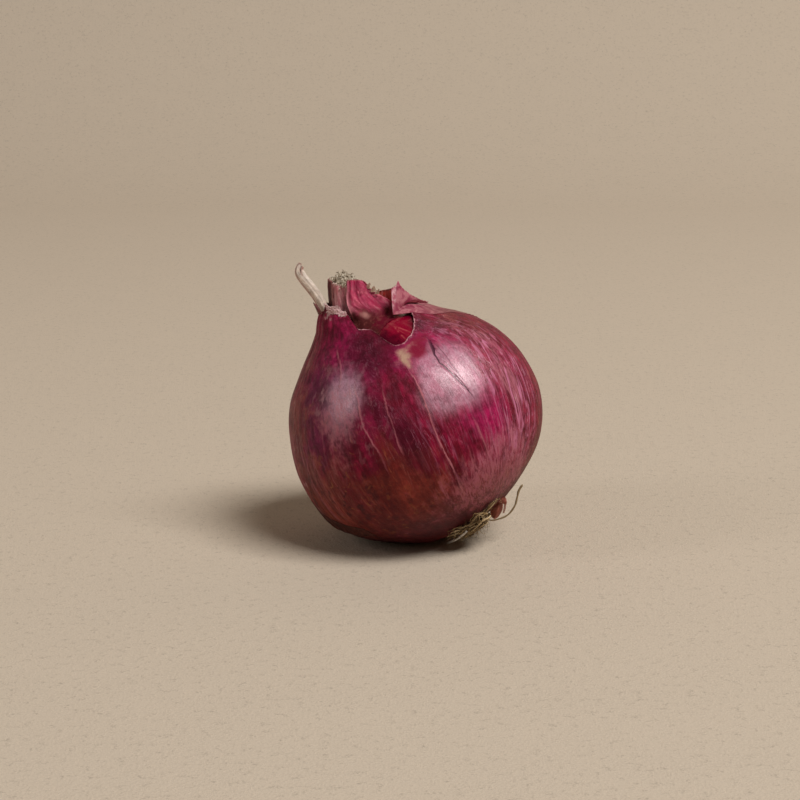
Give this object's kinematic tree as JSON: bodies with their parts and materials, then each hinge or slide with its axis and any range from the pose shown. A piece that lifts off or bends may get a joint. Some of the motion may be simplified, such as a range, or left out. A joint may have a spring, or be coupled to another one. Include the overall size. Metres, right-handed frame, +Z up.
{
  "type": "red onion",
  "caption": "Whole red onion lying neck up on a small flat spot, with torn papery skin, a dry leaf, neck scales and dried roots.",
  "frame": {"origin": "middle of the small flat spot that the onion rests on, on the floor", "axes": "+Z up; -Y is the side with the torn skin, the front; the neck leans 30 degrees towards -X and the root plate faces down towards +X"},
  "size_m": [0.0737, 0.072, 0.0807],
  "materials": {
    "fleshy_scale": "gloss",
    "outer_skin": "satin",
    "loose_skin": "matte",
    "old_skin": "matte",
    "neck_scale": "satin",
    "membrane": "satin",
    "straw": "matte",
    "fibre": "matte",
    "cork": "matte",
    "root": "matte"
  },
  "bodies": {
    "root": {"bulb": "fleshy_scale", "outer_skin": "outer_skin", "shoulder_skin": "loose_skin", "base_flake": "old_skin", "neck_left_scale": "neck_scale", "neck_front_scale": "neck_scale", "neck_right_scale": "neck_scale", "neck_back_scale": "neck_scale", "inner_membrane": "membrane", "dry_leaf": "straw", "leaf_splinter": "straw", "neck_fibre_1": "fibre", "neck_fibre_2": "fibre", "neck_fibre_3": "fibre", "neck_fibre_4": "fibre", "neck_fibre_5": "fibre", "neck_fibre_6": "fibre", "neck_fibre_7": "fibre", "root_plate": "cork", "root_01": "root", "root_02": "root", "root_03": "root", "root_04": "root", "root_05": "root", "root_06": "root", "root_07": "root", "root_08": "root", "root_09": "root", "root_10": "root", "root_11": "root", "root_12": "root", "root_13": "root", "root_14": "root", "root_15": "root", "root_16": "root", "root_17": "root", "root_18": "root", "long_root": "root", "pale_root": "root", "root_skin_scrap": "old_skin"}
  },
  "joints": []
}
